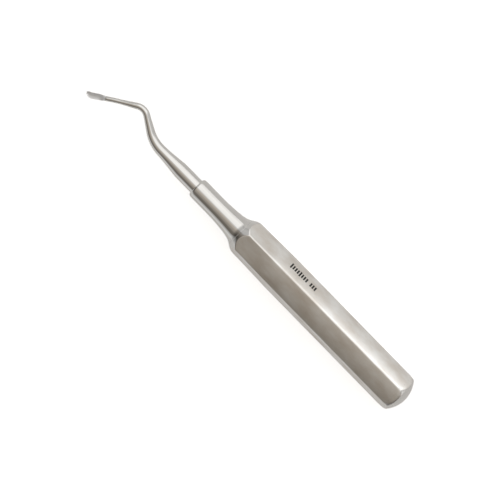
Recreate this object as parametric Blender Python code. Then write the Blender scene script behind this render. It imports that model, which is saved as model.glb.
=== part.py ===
"""Dental elevator with a cranked shank and a hexagonal hollow handle.

Five separate pieces: the forged working end (blade, shank and tang), the ferrule, the turned neck,
the hexagonal tube and the domed end cap. The instrument lies on one of its flats: +X runs from the
butt to the tip, +Z is up, and the origin is on the surface under the middle of its length.
"""
import bisect
import math

import bmesh
import bpy
from mathutils import Matrix, Vector

MM = 0.001

# ---------------------------------------------------------------- driving dimensions, millimetres
LENGTH = 157.4             # butt to tip
HEX_WIDTH = 14.0           # across the flats of the plain hexagon that the ridges lie on
FLAT_CROWN = 0.25          # how far the middle of each flat stands above that hexagon
FLAT_HALF_ANGLE = 12.0     # the middle of each flat is plane this far either side, in degrees
CROWN_POWER = 1.3          # how the crown falls off from there to the ridge
WALL = 1.0                 # wall of the tube
GAP = 0.3                  # clearance between the faces of two pieces that touch
CHAMFER = 0.5              # on the hidden ends of the spigots and the tang

# Stations are distances along the handle's axis from the butt.
CAP_END = 4.6              # seam between the end cap and the tube
BODY_END = 62.0            # the flats are parallel up to here
MOUTH = 83.3               # front face of the tube's drawn-in mouth
FERRULE_BACK = 99.2
FERRULE_FRONT = 105.8
SHANK_ROOT = 103.9         # the shank's shoulder, hidden in the ferrule
TANG_END = 86.5            # rear end of the tang, hidden in the neck

CORNER_SHARPNESS = 90      # exponent of the rounded hexagon: higher is sharper
SHOULDER_BLEND = 0.35      # softness of the edge between the flats and the turned ends
SHOULDER_CLOSING = 0.035   # share by which the flats close in at the shoulder
SHOULDER_LEAD = 1.2        # the closely spaced rings start this far behind the shoulder

DOME_RADIUS = 11.0         # crown of the butt
DOME_EDGE = 3.2            # rounding between the crown and the flats
DOME_START_ANGLE = 5.4     # first ring of the crown, in degrees of the spacing's quarter turn

MOUTH_BORE = 4.75          # radius of the tube's mouth
CAP_SPIGOT = (5.9, 10.5)   # radius, and the station where it ends
NECK_SPIGOT = (4.45, 75.0)
NECK_BORE = 2.3
NECK_FRONT_SPIGOT = 2.95
FERRULE_RADIUS = 4.0
FERRULE_BORE = 3.2
FERRULE_EDGE = 0.1         # broken rear edge
FERRULE_NOSE = (1.5, 0.74)  # length and depth of the rounded front edge
TANG_RADIUS = 2.05

# Outer radius of the turned end of the handle, from the tube's shoulder to the ferrule.
SHOULDER_OUTLINE = [(78.4, 8.5), (79.6, 8.0), (80.6, 7.53), (81.5, 7.05), (82.4, 6.52), (MOUTH, 5.95)]
NECK_OUTLINE = [(MOUTH, 5.95), (84.2, 5.4), (85.2, 5.02), (86.7, 4.68), (88.8, 4.39), (91.0, 4.2),
                (94.0, 4.02), (97.0, 3.9), (FERRULE_BACK, 3.85)]
# Round part of the tube's bore, where it narrows to the mouth.
BORE_OUTLINE = [(77.0, 6.35), (79.0, 5.6), (80.6, MOUTH_BORE), (MOUTH, MOUTH_BORE)]
TUBE_STATIONS = [5.2, 6.0, 20.0, 41.0, BODY_END]  # rings of the tube's outside behind the taper

# The shank's route in the plane of the crank: station, sideways offset, radius of the bend there.
SHANK_CORNERS = [(127.7, 0.0, 13.5), (138.3, -6.85, 4.3), (148.1, -0.6, 60.0)]
TIP_ANGLE = 35.5           # degrees between the last straight and the handle's axis
TIP_STATION = LENGTH - 0.65  # end of the centre line; the tip's corner reaches the full length
ROUTE_STEP = 1.1           # distance between the shank's rings
# Radius of the round shank against the length run from its root.
SHANK_TAPER = [(0.0, 2.95), (9.5, 2.92), (13.1, 2.58), (17.3, 2.17), (20.8, 1.99), (24.0, 1.8),
               (27.0, 1.62), (30.0, 1.42), (33.0, 1.26), (36.5, 1.21), (39.5, 1.14), (42.5, 0.98),
               (45.0, 0.9), (48.0, 0.9)]

# The blade. Shares run from 0 where the shank starts to flatten, to 1 at the tip.
BLADE_LENGTH = 8.0
BLADE_HALF_WIDTH = 1.15
BLADE_THICKNESS = 0.55     # below the centre line, at the tip
GOUGE_DEPTH = 0.32         # hollow of the blade's working face
GOUGE_LIP = 0.12           # height of the gouge's two edges above the centre line
WIDE_BY = 0.45             # share where the full width is reached
THIN_BY = 0.77             # share where the final thickness is reached
GOUGE_BY = 0.42            # share where the face is fully hollow
TIP_START = 0.72           # share where the end starts to round off
TIP_POWER = 2.2            # squareness of the rounded end
TIP_LEAST = 0.03           # square of the share of the width left at the very end
BLADE_SHIFT = 0.1          # the blade lies this far to the outside of the shank's line
TIP_SLANT = 0.8            # how far the rounded end leans the same way

RING_OFFSETS = [-30.0, -28.6, -27.0, -23.0, -FLAT_HALF_ANGLE, 0.0, FLAT_HALF_ANGLE, 23.0, 27.0, 28.6]
TURNED_STEPS = 40
SHANK_STEPS = 20

AXIS_HEIGHT = HEX_WIDTH / 2 + FLAT_CROWN
RIDGE_RADIUS = HEX_WIDTH / math.sqrt(3)
POLISHED = ((0.80, 0.79, 0.77, 1.0), 0.12)
SATIN = ((0.68, 0.67, 0.65, 1.0), 0.34)


# ---------------------------------------------------------------- small helpers
def interpolate(table, x):
    """Straight-line interpolation in a table of (x, y), held constant past its ends."""
    if x <= table[0][0]:
        return table[0][1]
    if x >= table[-1][0]:
        return table[-1][1]
    i = bisect.bisect_right([row[0] for row in table], x)
    (x0, y0), (x1, y1) = table[i - 1], table[i]
    return y0 + (y1 - y0) * (x - x0) / (x1 - x0)


def smooth_step(t):
    t = min(max(t, 0.0), 1.0)
    return t * t * (3 - 2 * t)


def smooth_min(a, b, softness):
    """The smaller of two lengths, with a rounded changeover."""
    h = max(softness - abs(a - b), 0.0) / softness
    return min(a, b) - h * h * softness / 4


def span(start, end, steps):
    """Even values from start to end, both ends included."""
    return [start + (end - start) * i / steps for i in range(steps + 1)]


def add_material(obj, name, look):
    color, roughness = look
    material = bpy.data.materials.new(name)
    material.use_nodes = True
    shader = material.node_tree.nodes["Principled BSDF"]
    shader.inputs["Base Color"].default_value = color
    shader.inputs["Metallic"].default_value = 1.0
    shader.inputs["Roughness"].default_value = roughness
    obj.data.materials.append(material)


def make_object(name, bm, look, parent):
    """Turn a bmesh in handle coordinates (station, sideways, up from the axis, mm) into an object."""
    bmesh.ops.recalc_face_normals(bm, faces=bm.faces[:])
    for vert in bm.verts:
        vert.co = Vector((vert.co.x - LENGTH / 2, vert.co.y, vert.co.z)) * MM
    mesh = bpy.data.meshes.new(name)
    bm.to_mesh(mesh)
    bm.free()
    mesh.shade_smooth()
    mesh.set_sharp_from_angle(angle=math.radians(30))
    obj = bpy.data.objects.new(name, mesh)
    bpy.context.scene.collection.objects.link(obj)
    obj.parent = parent
    add_material(obj, name + "_metal", look)


def bridge_rings(bm, rings, closed=False):
    """Skin a list of equal rings of points. Open ends are capped, and closed joins last to first."""
    loops = [[bm.verts.new(point) for point in ring] for ring in rings]
    pairs = list(zip(loops, loops[1:]))
    if closed:
        pairs.append((loops[-1], loops[0]))
    for first, second in pairs:
        for i in range(len(first)):
            j = (i + 1) % len(first)
            bm.faces.new((first[i], first[j], second[j], second[i]))
    if not closed:
        bm.faces.new(loops[0])
        bm.faces.new(loops[-1])


# ---------------------------------------------------------------- hexagonal section
def tube_radius(offset, station, depth=0.0):
    """Distance from the axis to the tube's flats, or to a surface that lies a depth below them.

    The offset is the angle in degrees from the middle of a flat, up to 30 at a ridge. Each flat is
    plane in its middle and falls by the crown to its ridges. Towards the shoulder the flats close in
    and lose their crown.
    """
    closing = smooth_step((station - BODY_END) / (SHOULDER_OUTLINE[0][0] - BODY_END))
    half_width = HEX_WIDTH / 2 * (1 - SHOULDER_CLOSING * closing) - depth
    fall = max(0.0, abs(offset) - FLAT_HALF_ANGLE) / (30 - FLAT_HALF_ANGLE)
    crown = FLAT_CROWN * (1 - closing) * (1 - fall ** CROWN_POWER)
    total = sum(abs(math.cos(math.radians(offset - 60 * i))) ** CORNER_SHARPNESS for i in range(3))
    return (half_width + crown) / total ** (1 / CORNER_SHARPNESS)


def dome_radius(station):
    """Radius of the butt's turned envelope: a shallow crown with a rounded edge."""
    edge_centre_r = RIDGE_RADIUS - DOME_EDGE
    edge_centre_s = DOME_RADIUS - math.sqrt((DOME_RADIUS - DOME_EDGE) ** 2 - edge_centre_r ** 2)
    if station >= edge_centre_s:
        return RIDGE_RADIUS + (station - edge_centre_s)
    tangent_s = DOME_RADIUS - (DOME_RADIUS - edge_centre_s) * DOME_RADIUS / (DOME_RADIUS - DOME_EDGE)
    if station >= tangent_s:
        return edge_centre_r + math.sqrt(DOME_EDGE ** 2 - (edge_centre_s - station) ** 2)
    return math.sqrt(DOME_RADIUS ** 2 - (DOME_RADIUS - station) ** 2)


def ring_around(station, radius_at):
    """Ring of points, where radius_at gives the radius for an angle from the middle of a flat."""
    ring = []
    for facet in range(6):
        for offset in RING_OFFSETS:
            angle = math.radians(90 + 60 * facet + offset)
            radius = radius_at(offset)
            ring.append(Vector((station, radius * math.cos(angle), radius * math.sin(angle))))
    return ring


def outer_ring(station):
    """The hexagon's flats, cut down by the dome at the butt and by the shoulder at the front."""
    envelope = min(dome_radius(station), interpolate(SHOULDER_OUTLINE, station))
    return ring_around(station, lambda a: smooth_min(tube_radius(a, station), envelope, SHOULDER_BLEND))


def bore_ring(station):
    """Inside of the tube: a wall's thickness below the flats, or round where it narrows."""
    round_radius = interpolate(BORE_OUTLINE, station) if station >= BORE_OUTLINE[0][0] else HEX_WIDTH
    return ring_around(station, lambda a: min(tube_radius(a, station, WALL), round_radius))


# ---------------------------------------------------------------- the pieces
def make_end_cap(parent):
    """Domed butt with a round spigot that plugs the tube."""
    bm = bmesh.new()
    seam = CAP_END - GAP / 2
    rings = [outer_ring(seam * (1 - math.cos(math.radians(a)))) for a in span(DOME_START_ANGLE, 90, 10)]
    radius, end = CAP_SPIGOT
    for s, r in ((seam, radius), (end - CHAMFER, radius), (end, radius - CHAMFER)):
        rings.append(ring_around(s, lambda a, r=r: r))
    bridge_rings(bm, rings)
    make_object("end_cap", bm, POLISHED, parent)


def make_handle_shell(parent):
    """Hexagonal tube whose front is drawn in to a round mouth."""
    bm = bmesh.new()
    back = CAP_END + GAP / 2
    shoulder = SHOULDER_OUTLINE[0][0] - SHOULDER_LEAD
    stations = [back] + TUBE_STATIONS + span(BODY_END, shoulder, 5)[1:-1] + span(shoulder, MOUTH, 12)
    bore_stations = [s for s, _ in reversed(BORE_OUTLINE)] + [BODY_END, back]
    rings = [outer_ring(s) for s in stations] + [bore_ring(s) for s in bore_stations]
    bridge_rings(bm, rings, closed=True)
    make_object("handle_shell", bm, SATIN, parent)


def make_turned(name, outline, parent):
    """Solid of revolution about the handle's axis from a closed outline of (station, radius)."""
    bm = bmesh.new()
    turns = [2 * math.pi * i / TURNED_STEPS for i in range(TURNED_STEPS)]
    rings = [[Vector((s, r * math.cos(a), r * math.sin(a))) for a in turns] for s, r in outline]
    bridge_rings(bm, rings, closed=True)
    make_object(name, bm, POLISHED, parent)


def make_handle_neck(parent):
    """Turned neck: rear spigot in the tube, flared body, front spigot under the ferrule, tang bore."""
    radius, end = NECK_SPIGOT
    face = MOUTH + GAP
    shoulder = FERRULE_BACK - GAP
    front_end = SHANK_ROOT - GAP
    rear = [(end, NECK_BORE), (end, radius - CHAMFER), (end + CHAMFER, radius), (face, radius),
            (face, interpolate(NECK_OUTLINE, face))]
    body = [row for row in NECK_OUTLINE if face < row[0] < FERRULE_BACK]
    front = [(shoulder, interpolate(NECK_OUTLINE, shoulder)), (shoulder, NECK_FRONT_SPIGOT),
             (front_end, NECK_FRONT_SPIGOT), (front_end, NECK_BORE)]
    make_turned("handle_neck", rear + body + front, parent)


def make_ferrule(parent):
    """Front collar: a sleeve with a rounded front edge."""
    length, depth = FERRULE_NOSE
    outline = [(FERRULE_BACK, FERRULE_BORE), (FERRULE_BACK, FERRULE_RADIUS - FERRULE_EDGE),
               (FERRULE_BACK + FERRULE_EDGE, FERRULE_RADIUS)]
    for turn in span(0.0, math.pi / 2, 6):
        outline.append((FERRULE_FRONT - length * (1 - math.sin(turn)),
                        FERRULE_RADIUS - depth * (1 - math.cos(turn))))
    outline.append((FERRULE_FRONT, FERRULE_BORE))
    make_turned("ferrule", outline, parent)


# ---------------------------------------------------------------- working end
def straight(start, end, step):
    """Points after start, up to and including end."""
    pieces = max(1, round((end - start).length / step))
    return [start.lerp(end, k / pieces) for k in range(1, pieces + 1)]


def shank_route():
    """Points of the shank's centre line in the crank's plane, from its root to the blade's tip.

    Straights joined by arcs, with closer points in the last straight, where the blade is.
    """
    corners = [Vector((s, y)) for s, y, _ in SHANK_CORNERS]
    last = Vector((math.cos(math.radians(TIP_ANGLE)), math.sin(math.radians(TIP_ANGLE))))
    end = corners[-1] + last * (TIP_STATION - corners[-1].x) / last.x
    nodes = [Vector((SHANK_ROOT, 0.0))] + corners + [end]
    points = [nodes[0]]
    for i, (_, _, radius) in enumerate(SHANK_CORNERS, start=1):
        before = (nodes[i] - nodes[i - 1]).normalized()
        after = (nodes[i + 1] - nodes[i]).normalized()
        turn = -before.angle_signed(after)
        start = nodes[i] - before * radius * math.tan(abs(turn) / 2)
        centre = start + Vector((-before.y, before.x)) * math.copysign(radius, turn)
        points += straight(points[-1], start, ROUTE_STEP)
        pieces = max(6, round(abs(turn) * radius / ROUTE_STEP))
        for k in range(1, pieces + 1):
            points.append(centre + Matrix.Rotation(turn * k / pieces, 2) @ (start - centre))
    return points + straight(points[-1], end, ROUTE_STEP / 2)


def section(point, across, half_width, half_height, hollow=0.0):
    """One ring of the shank or blade: an ellipse whose upper side is dished as hollow goes to 1."""
    ring = []
    for i in range(SHANK_STEPS):
        angle = 2 * math.pi * i / SHANK_STEPS
        side = half_width * math.cos(angle)
        up = half_height * math.sin(angle)
        if up > 0:
            dished = GOUGE_LIP - GOUGE_DEPTH * (1 - (side / half_width) ** 2)
            up += (dished - up) * hollow
        ring.append(Vector((point.x + across.x * side, point.y + across.y * side, up)))
    return ring


def blade_section(point, across, radius, share):
    """Ring of the blade: it widens, thins, turns hollow and ends in a slanted round tip."""
    hollow = smooth_step(share / GOUGE_BY)
    tip = max(0.0, (share - TIP_START) / (1 - TIP_START))
    half_width = radius + (BLADE_HALF_WIDTH - radius) * smooth_step(share / WIDE_BY)
    half_width *= math.sqrt(max(1 - tip ** TIP_POWER, TIP_LEAST))
    half_height = radius + (BLADE_THICKNESS - radius) * smooth_step(share / THIN_BY)
    centre = point - across * (BLADE_SHIFT * hollow + TIP_SLANT * tip ** 2)
    return section(centre, across, half_width, half_height, hollow)


def make_working_end(parent):
    """Tang, cranked shank and gouge blade in one forging."""
    bm = bmesh.new()
    sideways = Vector((0.0, 1.0))
    tang = ((TANG_END, TANG_RADIUS - CHAMFER), (TANG_END + CHAMFER, TANG_RADIUS), (SHANK_ROOT, TANG_RADIUS))
    rings = [section(Vector((s, 0.0)), sideways, r, r) for s, r in tang]
    points = shank_route()
    run = [0.0]
    for a, b in zip(points, points[1:]):
        run.append(run[-1] + (b - a).length)
    for i, point in enumerate(points):
        ahead = (points[min(i + 1, len(points) - 1)] - points[max(i - 1, 0)]).normalized()
        across = Vector((-ahead.y, ahead.x))
        radius = interpolate(SHANK_TAPER, run[i])
        share = max(0.0, 1 - (run[-1] - run[i]) / BLADE_LENGTH)
        rings.append(blade_section(point, across, radius, share))
    bridge_rings(bm, rings)
    make_object("working_end", bm, POLISHED, parent)


def clear_scene():
    for obj in list(bpy.data.objects):
        bpy.data.objects.remove(obj, do_unlink=True)


def main():
    clear_scene()
    axis = bpy.data.objects.new("handle_axis", None)
    axis.location = (0.0, 0.0, AXIS_HEIGHT * MM)
    bpy.context.scene.collection.objects.link(axis)
    make_end_cap(axis)
    make_handle_shell(axis)
    make_handle_neck(axis)
    make_ferrule(axis)
    make_working_end(axis)


main()
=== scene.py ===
"""Looks for the dental elevator: satin hexagonal tube, polished turned parts, and a matte gouge blade.

Shapes are worked out in millimetres as (station, sideways, height above the handle's axis), where a
station is the distance along the axis from the butt, and are then placed in the CAD frame.
"""
import bisect
import math

import bmesh
import bpy
from mathutils import Matrix, Vector


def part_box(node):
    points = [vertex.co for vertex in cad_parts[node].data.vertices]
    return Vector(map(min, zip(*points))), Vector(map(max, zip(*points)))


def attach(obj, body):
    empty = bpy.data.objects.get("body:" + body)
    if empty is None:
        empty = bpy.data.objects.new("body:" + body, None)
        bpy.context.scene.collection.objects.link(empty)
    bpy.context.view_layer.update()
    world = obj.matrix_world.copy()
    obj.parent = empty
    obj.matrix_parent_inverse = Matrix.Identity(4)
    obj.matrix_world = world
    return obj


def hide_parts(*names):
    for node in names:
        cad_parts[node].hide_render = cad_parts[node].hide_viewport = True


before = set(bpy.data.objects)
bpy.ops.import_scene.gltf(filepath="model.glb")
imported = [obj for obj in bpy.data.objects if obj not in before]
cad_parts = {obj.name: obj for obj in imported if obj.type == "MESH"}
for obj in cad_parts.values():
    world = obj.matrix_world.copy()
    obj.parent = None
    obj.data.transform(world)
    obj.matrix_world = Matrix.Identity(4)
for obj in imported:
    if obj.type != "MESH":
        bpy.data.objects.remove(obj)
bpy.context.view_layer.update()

MM = 0.001


def box_mm(node):
    """A CAD node's lowest and highest corners, in millimetres."""
    low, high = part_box(node)
    return Vector(low) / MM, Vector(high) / MM


# ---------------------------------------------------------------- sizes read from the frame
CAP_LOW, CAP_HIGH = box_mm("end_cap")
SHELL_LOW, SHELL_HIGH = box_mm("handle_shell")
NECK_LOW, NECK_HIGH = box_mm("handle_neck")
FERRULE_LOW, FERRULE_HIGH = box_mm("ferrule")
END_LOW, END_HIGH = box_mm("working_end")

BUTT_X = CAP_LOW.x
AXIS_Z = (SHELL_LOW.z + SHELL_HIGH.z) / 2
ACROSS_CROWNS = SHELL_HIGH.z - SHELL_LOW.z
HALF_GAP = 0.15                                   # half of the clearance that the CAD pieces keep
CAP_SEAM = SHELL_LOW.x - BUTT_X - HALF_GAP
MOUTH = SHELL_HIGH.x - BUTT_X
FERRULE_BACK = FERRULE_LOW.x - BUTT_X
FERRULE_FRONT = FERRULE_HIGH.x - BUTT_X
FERRULE_RADIUS = (FERRULE_HIGH.z - FERRULE_LOW.z) / 2
NECK_REAR = NECK_LOW.x - BUTT_X
NECK_FRONT = NECK_HIGH.x - BUTT_X
CAP_SPIGOT_END = CAP_HIGH.x - BUTT_X
TANG_END = END_LOW.x - BUTT_X
SHANK_RADIUS = END_HIGH.z - AXIS_Z

# ---------------------------------------------------------------- sizes repeated from the CAD, mm
FACETS = 6
FACET_ANGLE = 360 / FACETS
HALF_FACET = FACET_ANGLE / 2
FLAT_CROWN = 0.25          # how far the middle of each flat stands above the plain hexagon
HEX_WIDTH = ACROSS_CROWNS - 2 * FLAT_CROWN
RIDGE_RADIUS = HEX_WIDTH / math.sqrt(3)
BODY_END = 62.0            # the flats are parallel up to here
SHOULDER_CLOSING = 0.035   # share by which the flats close in at the shoulder
DOME_RADIUS = 11.0         # crown of the butt
DOME_EDGE = 3.2            # rounding between the crown and the flats
WALL = 1.0                 # wall of the tube
CHAMFER = 0.5              # on the hidden ends of the spigots and the tang
MOUTH_BORE = 4.75
CAP_SPIGOT_RADIUS = 5.9
NECK_SPIGOT_RADIUS = 4.45
NECK_FRONT_SPIGOT = 2.95
NECK_BORE = 2.3
FERRULE_NOSE = (1.5, 0.74)  # length and depth of the rounded front edge
TANG_RADIUS = 2.05
# Turned outlines as (station, radius).
SHOULDER_OUTLINE = [(78.4, 8.5), (79.6, 8.0), (80.6, 7.53), (81.5, 7.05), (82.4, 6.52), (MOUTH, 5.95)]
BORE_OUTLINE = [(77.0, 6.35), (79.0, 5.6), (80.6, MOUTH_BORE), (MOUTH, MOUTH_BORE)]

# The shank: its corners as (station, sideways, radius of the bend), and its own radius as
# (length run from its root, radius).
SHANK_ROOT = 103.9
SHANK_CORNERS = [(127.7, 0.0, 13.5), (138.3, -6.85, 4.3), (148.1, -0.6, 60.0)]
TIP_ANGLE = 35.5           # degrees between the last straight and the handle's axis
SHANK_TAPER = [(0.0, SHANK_RADIUS), (9.5, 2.92), (13.1, 2.58), (17.3, 2.17), (20.8, 1.99),
               (24.0, 1.8), (27.0, 1.62), (30.0, 1.42), (33.0, 1.26), (36.5, 1.21), (39.5, 1.14),
               (42.5, 0.98), (45.0, 0.9), (48.0, 0.9)]

# The blade. Shares run from 0 where the shank starts to flatten, to 1 at the tip.
BLADE_LENGTH = 8.0
BLADE_HALF_WIDTH = 1.15
BLADE_THICKNESS = 0.55     # below the centre line, at the tip
GOUGE_DEPTH = 0.32         # hollow of the blade's working face
GOUGE_LIP = 0.12           # height of the gouge's two edges above the centre line
WIDE_BY = 0.45             # share where the full width is reached
THIN_BY = 0.77             # share where the final thickness is reached
GOUGE_BY = 0.42            # share where the face is fully hollow
TIP_START = 0.72           # share where the end starts to round off
BLADE_SHIFT = 0.1          # the blade lies this far to the outside of the shank's line

# ---------------------------------------------------------------- shapes that differ from the CAD's, mm
RIDGE_SHARPNESS = 60       # exponent of the rounded hexagon, a little softer than the CAD's
SHOULDER_BLEND = 0.2       # softness of the edge between the flats and the turned shoulder
DOME_BLEND = 0.5           # the same at the butt
SEAM = 0.03                # width of the joint line between the tube and the neck
HAIRLINE = 0.006           # half-width of the cap's joint, and width of the one at the ferrule's back
EDGE_BREAK = 0.04          # small break on the edges on both sides of the seam
NECK_EDGE_DROP = 0.05      # how deep the neck's share of it is
FLUSH_STEP = 0.01          # how far the neck's front end lies below the ferrule
NECK_OUTLINE = [(MOUTH, 5.95), (84.2, 5.4), (85.2, 5.02), (86.7, 4.68), (88.8, 4.39), (91.0, 4.2),
                (94.0, 4.04), (97.0, 3.99), (FERRULE_BACK, FERRULE_RADIUS - FLUSH_STEP)]
FERRULE_BORE = 3.0         # closer round the shank than the CAD's clearance
TIP_POWER = 4.0            # squareness of the blade's rounded end, blunter than the CAD's
TIP_LEAST = 0.05           # square of the share of the width left at the very end
TIP_SLANT = 0.7            # how far the rounded end leans to the outside
TIP_STATION = END_HIGH.x - BUTT_X - 0.68  # end of the centre line, behind the tip's corner
FACE_START = 0.06          # share of the blade where its matte ground face starts

# A row of upright strokes on one flat, which stands for the lettering that is left out.
MARK_FLAT = -60            # degrees from the top flat, towards -Y
MARK_FRONT = 62.9          # front end of the row
MARK_COUNT = 12            # places in the row
MARK_GAP = 8               # the place that is left empty, which makes two groups
MARK_PITCH = 1.06
MARK_STROKE = 0.64         # width of a stroke along the handle
MARK_LONG = 1.12           # half-height of every fourth stroke
MARK_SHORT = 0.88          # half-height of the others
LONG_EVERY = 4
MARK_PROUD = 0.012         # how far a stroke stands above the flat
MARK_THICKNESS = 0.05

# ---------------------------------------------------------------- fineness of the meshes
FACET_STEPS = 26           # points around each of the six flats
RIDGE_CROWDING = 0.55      # how strongly those points crowd at the ridges
DOME_START_ANGLE = 4.0     # first ring of the dome, in degrees of the spacing's quarter turn
DOME_STEPS = 48
BUTT_STATIONS = [4.8, 5.1, 5.5, 6.2]  # rings of the tube just ahead of its seam with the cap
BODY_START = 8.0           # evenly spaced rings start here
BODY_STEPS = 18
CLOSING_STEPS = 12
SHOULDER_LEAD = 1.2        # the closely spaced rings start this far behind the shoulder
SHOULDER_STEPS = 56
TURNED_STEPS = 120
NECK_STEPS = 70
BARREL_MARGINS = (0.6, 0.4)  # from the ferrule's back and its nose to the nearest ring between them
BARREL_STEPS = 4
NOSE_STEPS = 22
SHANK_STEPS = 56           # points around the shank
SHANK_STEP = 0.35          # distance between the shank's rings
FINE_SHARE = 0.3           # that distance is cut to this share in the last straight
BEND_LEAST_STEPS = 6
SHARP_ANGLE = 32           # degrees between two faces from which their edge is drawn sharp
BLADE_SHARP_ANGLE = 38

# ---------------------------------------------------------------- camera, mm and degrees
VIEW_TILT = 20.0           # from straight overhead, towards -Y
VIEW_ROLL = 134.31         # from the picture's right to the handle's axis
VIEW_DISTANCE = 700.0
VIEW_WIDTH = 177.431       # width of the picture at the handle's axis
VIEW_CENTRE = (-2.25, 2.09)  # along the handle and across it
SENSOR_WIDTH = 36.0
NEAR_CLIP = 10.0


# ---------------------------------------------------------------- helpers
def smooth_step(t):
    t = min(max(t, 0.0), 1.0)
    return t * t * (3 - 2 * t)


def smooth_min(a, b, softness):
    """The smaller of two lengths, with a rounded changeover."""
    h = max(softness - abs(a - b), 0.0) / softness
    return min(a, b) - h * h * softness / 4


def smooth_table(table, x):
    """Cubic curve through a table of (x, y) that never overshoots, held constant past its ends."""
    if x <= table[0][0]:
        return table[0][1]
    if x >= table[-1][0]:
        return table[-1][1]
    rises = [(b[1] - a[1]) / (b[0] - a[0]) for a, b in zip(table, table[1:])]
    slopes = [rises[0]]
    for left, right in zip(rises, rises[1:]):
        slopes.append(2 * left * right / (left + right) if left * right > 0 else 0.0)
    slopes.append(rises[-1])
    i = bisect.bisect_right([row[0] for row in table], x) - 1
    (x0, y0), (x1, y1) = table[i], table[i + 1]
    width = x1 - x0
    t = (x - x0) / width
    return ((1 + 2 * t) * (1 - t) ** 2 * y0 + t * (1 - t) ** 2 * width * slopes[i]
            + t * t * (3 - 2 * t) * y1 + t * t * (t - 1) * width * slopes[i + 1])


def span(start, end, steps):
    """Even values from start to end, both ends included."""
    return [start + (end - start) * i / steps for i in range(steps + 1)]


def place(point):
    """From (station, sideways, up from the axis) in mm to the frame, in metres."""
    return Vector((point[0] + BUTT_X, point[1], point[2] + AXIS_Z)) * MM


def make_piece(name, bm, node, materials, sharp_angle=SHARP_ANGLE):
    """Finish a bmesh that is already in the frame as a piece that stands for a CAD node."""
    bmesh.ops.recalc_face_normals(bm, faces=bm.faces[:])
    mesh = bpy.data.meshes.new(name)
    bm.to_mesh(mesh)
    bm.free()
    mesh.shade_smooth()
    mesh.set_sharp_from_angle(angle=math.radians(sharp_angle))
    obj = bpy.data.objects.new(name, mesh)
    bpy.context.scene.collection.objects.link(obj)
    for material in materials:
        mesh.materials.append(material)
    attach(obj, "root")
    if node:
        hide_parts(node)
    return obj


def bridge_rings(bm, rings, closed=False, slots=None):
    """Skin a list of equal rings. slots(band, i) gives the index of a face's material."""
    loops = [[bm.verts.new(place(point)) for point in ring] for ring in rings]
    pairs = list(zip(loops, loops[1:]))
    if closed:
        pairs.append((loops[-1], loops[0]))
    for band, (first, second) in enumerate(pairs):
        for i in range(len(first)):
            j = (i + 1) % len(first)
            face = bm.faces.new((first[i], first[j], second[j], second[i]))
            if slots:
                face.material_index = slots(band, i)
    if not closed:
        bm.faces.new(loops[0])
        bm.faces.new(loops[-1])


# ---------------------------------------------------------------- hexagonal handle
def facet_offsets():
    """Angles in degrees from the middle of a flat, closer together at its ridges."""
    offsets = []
    for i in range(FACET_STEPS):
        t = i / FACET_STEPS * 2 - 1
        crowded = math.sin(t * math.pi / 2)
        offsets.append(HALF_FACET * (crowded * RIDGE_CROWDING + t * (1 - RIDGE_CROWDING)))
    return offsets


OFFSETS = facet_offsets()


def tube_radius(offset, station, depth=0.0):
    """Distance from the axis to the tube's flats, or to a surface that lies a depth below them.

    The offset is the angle in degrees from the middle of a flat. The crown is a shallow arch from
    ridge to ridge, without the CAD's plane middle, and it fades as the flats close in towards the
    shoulder.
    """
    closing = smooth_step((station - BODY_END) / (SHOULDER_OUTLINE[0][0] - BODY_END))
    half_width = HEX_WIDTH / 2 * (1 - SHOULDER_CLOSING * closing) - depth
    arch = 1 - (math.tan(math.radians(offset)) / math.tan(math.radians(HALF_FACET))) ** 2
    turns = [math.radians(offset - FACET_ANGLE * i) for i in range(FACETS // 2)]
    total = sum(abs(math.cos(turn)) ** RIDGE_SHARPNESS for turn in turns)
    return (half_width + FLAT_CROWN * (1 - closing) * arch) / total ** (1 / RIDGE_SHARPNESS)


def dome_radius(station):
    """Radius of the butt's turned envelope: a shallow crown with a rounded edge."""
    edge_r = RIDGE_RADIUS - DOME_EDGE
    edge_s = DOME_RADIUS - math.sqrt((DOME_RADIUS - DOME_EDGE) ** 2 - edge_r ** 2)
    if station >= edge_s:
        return RIDGE_RADIUS + (station - edge_s)
    tangent_s = DOME_RADIUS - (DOME_RADIUS - edge_s) * DOME_RADIUS / (DOME_RADIUS - DOME_EDGE)
    if station >= tangent_s:
        return edge_r + math.sqrt(DOME_EDGE ** 2 - (edge_s - station) ** 2)
    return math.sqrt(max(DOME_RADIUS ** 2 - (DOME_RADIUS - station) ** 2, 0.0))


def envelope(station):
    """Radius of the turned surfaces that cut the hexagon's two ends: the dome and the shoulder."""
    return min(dome_radius(station), smooth_table(SHOULDER_OUTLINE, station))


def ring_around(station, radius_at):
    """Ring of points from the top flat on. radius_at takes an angle from the middle of a flat."""
    ring = []
    for facet in range(FACETS):
        for offset in OFFSETS:
            angle = math.radians(90 + FACET_ANGLE * facet + offset)
            radius = radius_at(offset)
            ring.append((station, radius * math.cos(angle), radius * math.sin(angle)))
    return ring


def outer_ring(station, inset=0.0):
    """Outside of the tube or the cap: the flats, cut by the dome or the shoulder."""
    limit = envelope(station)
    blend = SHOULDER_BLEND if station > BODY_END else DOME_BLEND
    return ring_around(station, lambda a: smooth_min(tube_radius(a, station), limit, blend) - inset)


def round_ring(station, radius):
    return ring_around(station, lambda a: radius)


def bore_ring(station):
    """Inside of the tube: a wall's thickness below the flats, or round where it narrows."""
    limit = smooth_table(BORE_OUTLINE, station) if station >= BORE_OUTLINE[0][0] else math.inf
    return ring_around(station, lambda a: min(tube_radius(a, station, WALL), limit))


def on_flat(station, i):
    """Whether the ring's point i lies on a flat, and not on the turned surface that cuts the flats."""
    return tube_radius(OFFSETS[i % FACET_STEPS], station) < envelope(station)


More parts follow.
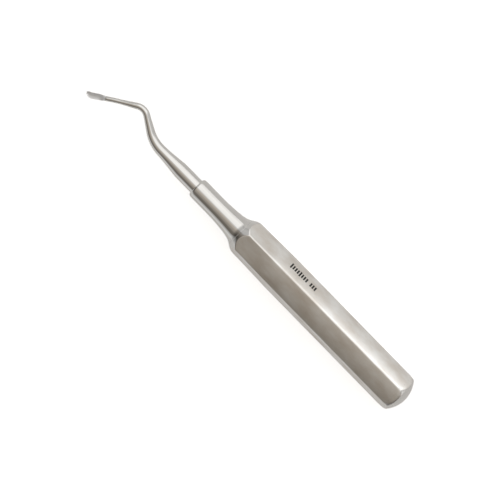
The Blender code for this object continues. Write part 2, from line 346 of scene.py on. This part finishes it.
def make_end_cap(satin, buffed):
    bm = bmesh.new()
    seam = CAP_SEAM - HAIRLINE
    stations = [seam * (1 - math.cos(math.radians(a))) for a in span(DOME_START_ANGLE, 90.0, DOME_STEPS)]
    rings = [outer_ring(s) for s in stations]
    outside = len(rings) - 1
    rings += [round_ring(seam, CAP_SPIGOT_RADIUS),
              round_ring(CAP_SPIGOT_END - CHAMFER, CAP_SPIGOT_RADIUS),
              round_ring(CAP_SPIGOT_END, CAP_SPIGOT_RADIUS - CHAMFER)]

    def slot_of(band, i):
        """0, satin, on the flats and 1, buffed, on the dome and the hidden spigot."""
        if band >= outside:
            return 1
        return 0 if on_flat((stations[band] + stations[band + 1]) / 2, i) else 1

    bridge_rings(bm, rings, slots=slot_of)
    return make_piece("end_cap_dome", bm, "end_cap", [satin, buffed])


def make_handle_shell(satin, bore, polished):
    bm = bmesh.new()
    back = CAP_SEAM + HAIRLINE
    shoulder = SHOULDER_OUTLINE[0][0] - SHOULDER_LEAD
    stations = [back] + BUTT_STATIONS + span(BODY_START, BODY_END, BODY_STEPS)
    stations += span(BODY_END, shoulder, CLOSING_STEPS)[1:-1]
    stations += span(shoulder, MOUTH - EDGE_BREAK, SHOULDER_STEPS)
    rings = [outer_ring(s) for s in stations] + [outer_ring(MOUTH, inset=EDGE_BREAK)]
    outside = len(rings) - 1
    rings += [bore_ring(s) for s, _ in reversed(BORE_OUTLINE)]
    rings += [bore_ring(BODY_END), bore_ring(back)]

    def slot_of(band, i):
        """0, satin, on the flats, 1, dull, inside and 2, polished, on the turned shoulder."""
        if band >= outside:
            return 1
        station = stations[min(band + 1, len(stations) - 1)]
        return 0 if on_flat(station, i) else 2

    bridge_rings(bm, rings, closed=True, slots=slot_of)
    return make_piece("handle_tube", bm, "handle_shell", [satin, bore, polished])


# ---------------------------------------------------------------- turned pieces
def turned_ring(station, radius):
    turns = (2 * math.pi * i / TURNED_STEPS for i in range(TURNED_STEPS))
    return [(station, radius * math.cos(a), radius * math.sin(a)) for a in turns]


def make_turned(name, outline, node, material):
    """Ring-shaped solid of revolution from a closed outline of (station, radius)."""
    bm = bmesh.new()
    bridge_rings(bm, [turned_ring(s, r) for s, r in outline], closed=True)
    return make_piece(name, bm, node, [material])


def make_neck(polished):
    face = MOUTH + SEAM
    shoulder = FERRULE_BACK - HAIRLINE
    rear = [(NECK_REAR, NECK_BORE), (NECK_REAR, NECK_SPIGOT_RADIUS - CHAMFER),
            (NECK_REAR + CHAMFER, NECK_SPIGOT_RADIUS), (face, NECK_SPIGOT_RADIUS),
            (face, NECK_OUTLINE[0][1] - NECK_EDGE_DROP)]
    stations = span(face + EDGE_BREAK, shoulder, NECK_STEPS)
    body = [(s, smooth_table(NECK_OUTLINE, s)) for s in stations]
    front = [(shoulder, NECK_FRONT_SPIGOT), (NECK_FRONT, NECK_FRONT_SPIGOT), (NECK_FRONT, NECK_BORE)]
    return make_turned("neck_flared", rear + body + front, "handle_neck", polished)


def make_ferrule(polished):
    length, depth = FERRULE_NOSE
    behind, ahead = BARREL_MARGINS
    barrel = span(FERRULE_BACK + behind, FERRULE_FRONT - length - ahead, BARREL_STEPS)
    outline = [(FERRULE_BACK, FERRULE_BORE), (FERRULE_BACK, FERRULE_RADIUS)]
    outline += [(s, FERRULE_RADIUS) for s in barrel]
    for angle in span(0.0, 90.0, NOSE_STEPS):
        turn = math.radians(angle)
        outline.append((FERRULE_FRONT - length * (1 - math.sin(turn)),
                        FERRULE_RADIUS - depth * (1 - math.cos(turn))))
    outline.append((FERRULE_FRONT, FERRULE_BORE))
    return make_turned("ferrule_collar", outline, "ferrule", polished)


# ---------------------------------------------------------------- working end
def straight(start, end, step):
    """Points after start, up to and including end."""
    pieces = max(1, round((end - start).length / step))
    return [start.lerp(end, k / pieces) for k in range(1, pieces + 1)]


def shank_route():
    """Centre line of the shank in the crank's plane: straights joined by arcs, from root to tip."""
    corners = [Vector((s, y)) for s, y, _ in SHANK_CORNERS]
    last = Vector((math.cos(math.radians(TIP_ANGLE)), math.sin(math.radians(TIP_ANGLE))))
    end = corners[-1] + last * (TIP_STATION - corners[-1].x) / last.x
    nodes = [Vector((SHANK_ROOT, 0.0))] + corners + [end]
    points = [nodes[0]]
    for i, (_, _, radius) in enumerate(SHANK_CORNERS, start=1):
        before = (nodes[i] - nodes[i - 1]).normalized()
        after = (nodes[i + 1] - nodes[i]).normalized()
        turn = -before.angle_signed(after)
        start = nodes[i] - before * radius * math.tan(abs(turn) / 2)
        centre = start + Vector((-before.y, before.x)) * math.copysign(radius, turn)
        points += straight(points[-1], start, SHANK_STEP)
        pieces = max(BEND_LEAST_STEPS, round(abs(turn) * radius / SHANK_STEP))
        for k in range(1, pieces + 1):
            arm = Matrix.Rotation(turn * k / pieces, 2) @ (start - centre)
            points.append(centre + arm)
    points += straight(points[-1], end, SHANK_STEP * FINE_SHARE)
    return points


def section(point, across, half_width, half_height, hollow=0.0):
    """One ring of the shank or blade: an ellipse whose upper side is dished as hollow goes to 1."""
    ring = []
    for i in range(SHANK_STEPS):
        angle = 2 * math.pi * i / SHANK_STEPS
        side = half_width * math.cos(angle)
        up = half_height * math.sin(angle)
        if up > 0:
            dished = GOUGE_LIP - GOUGE_DEPTH * (1 - (side / half_width) ** 2)
            up += (dished - up) * hollow
        ring.append((point.x + across.x * side, point.y + across.y * side, up))
    return ring


def blade_section(point, across, radius, share):
    """Ring of the blade: it widens, thins, turns hollow and ends in a slanted round tip."""
    hollow = smooth_step(share / GOUGE_BY)
    tip = max(0.0, (share - TIP_START) / (1 - TIP_START))
    half_width = radius + (BLADE_HALF_WIDTH - radius) * smooth_step(share / WIDE_BY)
    half_width *= math.sqrt(max(1 - tip ** TIP_POWER, TIP_LEAST))
    half_height = radius + (BLADE_THICKNESS - radius) * smooth_step(share / THIN_BY)
    centre = point - across * (BLADE_SHIFT * hollow + TIP_SLANT * tip ** 2)
    return section(centre, across, half_width, half_height, hollow)


def make_working_end(polished, matte):
    bm = bmesh.new()
    sideways = Vector((0.0, 1.0))
    tang = [(TANG_END, TANG_RADIUS - CHAMFER), (TANG_END + CHAMFER, TANG_RADIUS),
            (SHANK_ROOT, TANG_RADIUS)]
    rings = [section(Vector((s, 0.0)), sideways, r, r) for s, r in tang]
    shares = [0.0] * len(rings)
    points = shank_route()
    run = [0.0]
    for a, b in zip(points, points[1:]):
        run.append(run[-1] + (b - a).length)
    for i, point in enumerate(points):
        ahead = (points[min(i + 1, len(points) - 1)] - points[max(i - 1, 0)]).normalized()
        across = Vector((-ahead.y, ahead.x))
        share = max(0.0, 1 - (run[-1] - run[i]) / BLADE_LENGTH)
        rings.append(blade_section(point, across, smooth_table(SHANK_TAPER, run[i]), share))
        shares.append(share)

    def slot_of(band, i):
        """1, matte, on the ground face from where it starts to turn hollow, and else 0, polished."""
        upper = i < SHANK_STEPS / 2
        return 1 if upper and shares[band] > FACE_START else 0

    bridge_rings(bm, rings, slots=slot_of)
    return make_piece("shank_and_blade", bm, "working_end", [polished, matte],
                      BLADE_SHARP_ANGLE)


# ---------------------------------------------------------------- generic mark on one flat
def make_mark(ink):
    """Two groups of plain upright strokes, hardly proud of the flat beside +Z on the -Y side."""
    bm = bmesh.new()
    tilt = math.radians(MARK_FLAT)
    normal = Vector((0.0, math.sin(tilt), math.cos(tilt)))
    upward = Vector((0.0, math.cos(tilt), -math.sin(tilt)))
    height = ACROSS_CROWNS / 2 + MARK_PROUD

    def slab(corners):
        """A thin closed plate on the flat from corners given as (station, across)."""
        feet = [Vector((s, 0, 0)) + upward * a for s, a in corners]
        top = [bm.verts.new(place(foot + normal * height)) for foot in feet]
        low = [bm.verts.new(place(foot + normal * (height - MARK_THICKNESS))) for foot in feet]
        bm.faces.new(top)
        bm.faces.new(low[::-1])
        for i in range(len(top)):
            j = (i + 1) % len(top)
            bm.faces.new((top[i], low[i], low[j], top[j]))

    for k in range(MARK_COUNT):
        if k == MARK_GAP:
            continue
        start = MARK_FRONT - MARK_PITCH * (k + 1)
        end = start + MARK_STROKE
        half = MARK_LONG if k % LONG_EVERY == 0 else MARK_SHORT
        slab([(start, -half), (end, -half), (end, half), (start, half)])
    return make_piece("size_ticks", bm, None, [ink])


# ---------------------------------------------------------------- materials
NOISE_MIDDLE = (0.3, 0.7)  # most noise values lie in this range
BUMP_STRENGTH = 0.5


def new_material(name):
    material = bpy.data.materials.new(name)
    material.use_nodes = True
    nodes, links = material.node_tree.nodes, material.node_tree.links
    return material, nodes, links, nodes["Principled BSDF"]


def add_noise(nodes, links, coords, scale, detail=3.0):
    """Noise stretched by a separate scale for each direction, in cycles per metre."""
    mapping = nodes.new("ShaderNodeMapping")
    mapping.inputs["Scale"].default_value = scale
    links.new(coords, mapping.inputs["Vector"])
    noise = nodes.new("ShaderNodeTexNoise")
    noise.inputs["Scale"].default_value = 1.0
    noise.inputs["Detail"].default_value = detail
    links.new(mapping.outputs["Vector"], noise.inputs["Vector"])
    return noise.outputs["Fac"]


def add_range(nodes, links, value, low, high):
    """Stretch the middle of a noise value to run from low to high."""
    remap = nodes.new("ShaderNodeMapRange")
    remap.inputs["From Min"].default_value = NOISE_MIDDLE[0]
    remap.inputs["From Max"].default_value = NOISE_MIDDLE[1]
    remap.inputs["To Min"].default_value = low
    remap.inputs["To Max"].default_value = high
    links.new(value, remap.inputs["Value"])
    return remap.outputs["Result"]


def add_tint(nodes, links, value, dark, light):
    mix = nodes.new("ShaderNodeMix")
    mix.data_type = "RGBA"
    mix.inputs["A"].default_value = (*dark, 1.0)
    mix.inputs["B"].default_value = (*light, 1.0)
    links.new(value, mix.inputs["Factor"])
    return mix.outputs["Result"]


def add_bump(nodes, links, value, depth):
    bump = nodes.new("ShaderNodeBump")
    bump.inputs["Distance"].default_value = depth
    bump.inputs["Strength"].default_value = BUMP_STRENGTH
    links.new(value, bump.inputs["Height"])
    return bump.outputs["Normal"]


def steel(name, dark, light, rough, grain_scale, grain_depth, cloud_scale=(110, 160, 160)):
    """Stainless steel: cloudy tint, roughness that varies with a fine directional grain, and bump.

    Scales are in cycles per metre along X, Y and Z, and the grain's depth is in metres.
    """
    material, nodes, links, shader = new_material(name)
    coords = nodes.new("ShaderNodeTexCoord").outputs["Object"]
    cloud = add_noise(nodes, links, coords, cloud_scale, detail=5.0)
    grain = add_noise(nodes, links, coords, grain_scale, detail=2.0)
    links.new(add_tint(nodes, links, add_range(nodes, links, cloud, 0, 1), dark, light),
              shader.inputs["Base Color"])
    links.new(add_range(nodes, links, grain, *rough), shader.inputs["Roughness"])
    links.new(add_bump(nodes, links, grain, grain_depth), shader.inputs["Normal"])
    shader.inputs["Metallic"].default_value = 1.0
    return material


def make_materials():
    made = {}
    made["satin"] = steel("satin_steel", dark=(0.73, 0.69, 0.64), light=(0.91, 0.91, 0.90),
                          rough=(0.28, 0.38), grain_scale=(250, 6500, 6500), grain_depth=0.000005,
                          cloud_scale=(120, 260, 260))
    made["buffed"] = steel("buffed_steel", dark=(0.68, 0.67, 0.655), light=(0.74, 0.73, 0.72),
                           rough=(0.18, 0.26), grain_scale=(2500, 2500, 2500), grain_depth=0.000002)
    made["polished"] = steel("polished_steel", dark=(0.73, 0.725, 0.71), light=(0.79, 0.785, 0.775),
                             rough=(0.03, 0.07), grain_scale=(5200, 500, 500), grain_depth=0.0000012)
    made["matte"] = steel("blade_matte_steel", dark=(0.90, 0.91, 0.93), light=(0.96, 0.97, 0.99),
                          rough=(0.58, 0.70), grain_scale=(7000, 7000, 7000), grain_depth=0.00001)
    made["bore"] = steel("bore_steel", dark=(0.40, 0.39, 0.37), light=(0.48, 0.47, 0.45),
                         rough=(0.45, 0.6), grain_scale=(300, 5000, 5000), grain_depth=0.000006)
    ink, nodes, links, shader = new_material("laser_mark")
    coords = nodes.new("ShaderNodeTexCoord").outputs["Object"]
    speckle = add_noise(nodes, links, coords, (9000, 9000, 9000))
    links.new(add_tint(nodes, links, speckle, (0.006, 0.006, 0.007), (0.02, 0.019, 0.018)),
              shader.inputs["Base Color"])
    shader.inputs["Roughness"].default_value = 0.6
    made["ink"] = ink
    return made


# ---------------------------------------------------------------- studio
# The studio's soft surfaces: angle from overhead in degrees, positive towards -Y, and brightness.
STUDIO = [(-180, 0.74), (-80, 0.74),                             # pale wall on the +Y side
          (-62, 0.46), (-52, 0.17), (-36, 0.19),                 # dark gap above it
          (-14, 0.37), (8, 0.57), (20, 0.76),                    # warm grey ceiling
          (27, 1.10), (60, 1.18), (76, 1.06),                    # long soft key light
          (90, 0.98), (180, 0.94)]                               # pale wall on the -Y side
STUDIO_PEAK = max(level for _, level in STUDIO)
# How far the surfaces reach towards the two ends: share of the direction along X, and brightness.
REACH = [(-0.9, 0.85), (-0.5, 0.56), (-0.22, 1.0), (0.55, 1.0), (0.8, 0.5)]
CEILING_TINT = (1.0, 0.90, 0.78)
CEILING_EDGES = (-60, 15)  # what lies between these angles has the ceiling's tint
WALL_TINT = (1.0, 0.985, 0.96)
FLOOR_RADIUS = 3.0         # metres
FLOOR_SEGMENTS = 96
FLOOR_DROP = 0.00005       # metres below the flat that the handle rests on
FLOOR_GLOW = 0.14          # light of the table itself, as the metal reflects it
FLOOR_LIFT = 0.54          # what lifts the table to white where it is seen directly
# A soft panel beside the butt: centre, the point it faces and size in mm, and power in watts.
PANEL_CENTRE = (-100.0, -150.0, 45.0)
PANEL_AIM = (-100.0, 0.0, 8.0)
PANEL_SIZE = (120.0, 80.0)
PANEL_SPREAD = 50.0        # full angle in degrees, narrow so that little of it reaches the shank
PANEL_POWER = 0.0021


def add_ramp(nodes, links, value, low, high, stops):
    """Colour ramp over a value that runs from low to high. stops are (value, colour)."""
    share = nodes.new("ShaderNodeMapRange")
    share.inputs["From Min"].default_value = low
    share.inputs["From Max"].default_value = high
    links.new(value, share.inputs["Value"])
    ramp = nodes.new("ShaderNodeValToRGB")
    ramp.color_ramp.interpolation = "EASE"
    elements = ramp.color_ramp.elements
    while len(elements) < len(stops):
        elements.new(0.5)
    for element, (at, colour) in zip(elements, stops):
        element.position = (at - low) / (high - low)
        element.color = (*colour, 1.0)
    links.new(share.outputs["Result"], ramp.inputs["Fac"])
    return ramp.outputs["Color"]


def make_dome():
    """World light that changes around the handle's axis, so that flats and rounds read clearly."""
    world = bpy.data.worlds.new("studio")
    bpy.context.scene.world = world
    world.use_nodes = True
    nodes, links = world.node_tree.nodes, world.node_tree.links
    background = nodes["Background"]
    direction = nodes.new("ShaderNodeTexCoord").outputs["Generated"]
    split = nodes.new("ShaderNodeSeparateXYZ")
    links.new(direction, split.inputs["Vector"])
    flip = nodes.new("ShaderNodeMath")
    flip.operation = "MULTIPLY"
    flip.inputs[1].default_value = -1.0
    links.new(split.outputs["Y"], flip.inputs[0])
    angle = nodes.new("ShaderNodeMath")
    angle.operation = "ARCTAN2"
    links.new(flip.outputs[0], angle.inputs[0])
    links.new(split.outputs["Z"], angle.inputs[1])
    around = []
    lowest, highest = CEILING_EDGES
    for degrees, level in STUDIO:
        tint = CEILING_TINT if lowest < degrees < highest else WALL_TINT
        around.append((math.radians(degrees), [level / STUDIO_PEAK * channel for channel in tint]))
    along = [(at, (level, level, level)) for at, level in REACH]
    light = nodes.new("ShaderNodeMix")
    light.data_type = "RGBA"
    light.blend_type = "MULTIPLY"
    light.inputs["Factor"].default_value = 1.0
    links.new(add_ramp(nodes, links, angle.outputs[0], -math.pi, math.pi, around), light.inputs["A"])
    links.new(add_ramp(nodes, links, split.outputs["X"], -1.0, 1.0, along), light.inputs["B"])
    links.new(light.outputs["Result"], background.inputs["Color"])
    background.inputs["Strength"].default_value = STUDIO_PEAK


def make_floor():
    """Pale table, which is lifted to white where it is seen directly and not in reflections."""
    bm = bmesh.new()
    bmesh.ops.create_circle(bm, cap_ends=True, radius=FLOOR_RADIUS, segments=FLOOR_SEGMENTS)
    mesh = bpy.data.meshes.new("table")
    bm.to_mesh(mesh)
    bm.free()
    floor = bpy.data.objects.new("table", mesh)
    floor.location = (0.0, 0.0, -FLOOR_DROP)
    bpy.context.scene.collection.objects.link(floor)
    material, nodes, links, shader = new_material("pale_table")
    coords = nodes.new("ShaderNodeTexCoord").outputs["Object"]
    mottle = add_noise(nodes, links, coords, (9, 9, 9))
    tint = add_tint(nodes, links, mottle, (0.84, 0.84, 0.84), (0.88, 0.88, 0.88))
    links.new(tint, shader.inputs["Base Color"])
    shader.inputs["Roughness"].default_value = 0.9
    shader.inputs["Specular IOR Level"].default_value = 0.1
    shader.inputs["Emission Color"].default_value = (1.0, 1.0, 1.0, 1.0)
    seen = nodes.new("ShaderNodeLightPath").outputs["Is Camera Ray"]
    glow = nodes.new("ShaderNodeMath")
    glow.operation = "MULTIPLY_ADD"
    glow.inputs[1].default_value = FLOOR_LIFT
    glow.inputs[2].default_value = FLOOR_GLOW
    links.new(seen, glow.inputs[0])
    links.new(glow.outputs[0], shader.inputs["Emission Strength"])
    mesh.materials.append(material)


def make_panel():
    """Soft light beside the butt, which brightens the handle towards that end."""
    light = bpy.data.lights.new("butt_panel", "AREA")
    light.shape = "RECTANGLE"
    light.size, light.size_y = (side * MM for side in PANEL_SIZE)
    light.spread = math.radians(PANEL_SPREAD)
    light.energy = PANEL_POWER
    panel = bpy.data.objects.new("butt_panel", light)
    panel.location = Vector(PANEL_CENTRE) * MM
    towards = Vector(PANEL_AIM) - Vector(PANEL_CENTRE)
    panel.rotation_euler = towards.to_track_quat("-Z", "Y").to_euler()
    panel.visible_camera = False
    bpy.context.scene.collection.objects.link(panel)


def make_camera():
    tilt, roll = math.radians(VIEW_TILT), math.radians(VIEW_ROLL)
    along = Vector((1.0, 0.0, 0.0))
    back = Vector((0.0, -math.sin(tilt), math.cos(tilt)))
    across = back.cross(along)
    right = along * math.cos(roll) - across * math.sin(roll)
    up = along * math.sin(roll) + across * math.cos(roll)
    target = Vector((0.0, 0.0, AXIS_Z)) + along * VIEW_CENTRE[0] + across * VIEW_CENTRE[1]
    data = bpy.data.cameras.new("camera")
    data.sensor_width = SENSOR_WIDTH
    data.lens = VIEW_DISTANCE / VIEW_WIDTH * SENSOR_WIDTH
    data.clip_start = NEAR_CLIP * MM
    camera = bpy.data.objects.new("camera", data)
    camera.matrix_world = Matrix.Translation((target + back * VIEW_DISTANCE) * MM) @ Matrix(
        (right, up, back)).transposed().to_4x4()
    bpy.context.scene.collection.objects.link(camera)
    bpy.context.scene.camera = camera


def main():
    bpy.context.scene.view_settings.view_transform = "Standard"
    looks = make_materials()
    make_end_cap(looks["satin"], looks["buffed"])
    make_handle_shell(looks["satin"], looks["bore"], looks["polished"])
    make_neck(looks["polished"])
    make_ferrule(looks["polished"])
    make_working_end(looks["polished"], looks["matte"])
    make_mark(looks["ink"])
    make_dome()
    make_floor()
    make_panel()
    make_camera()


main()
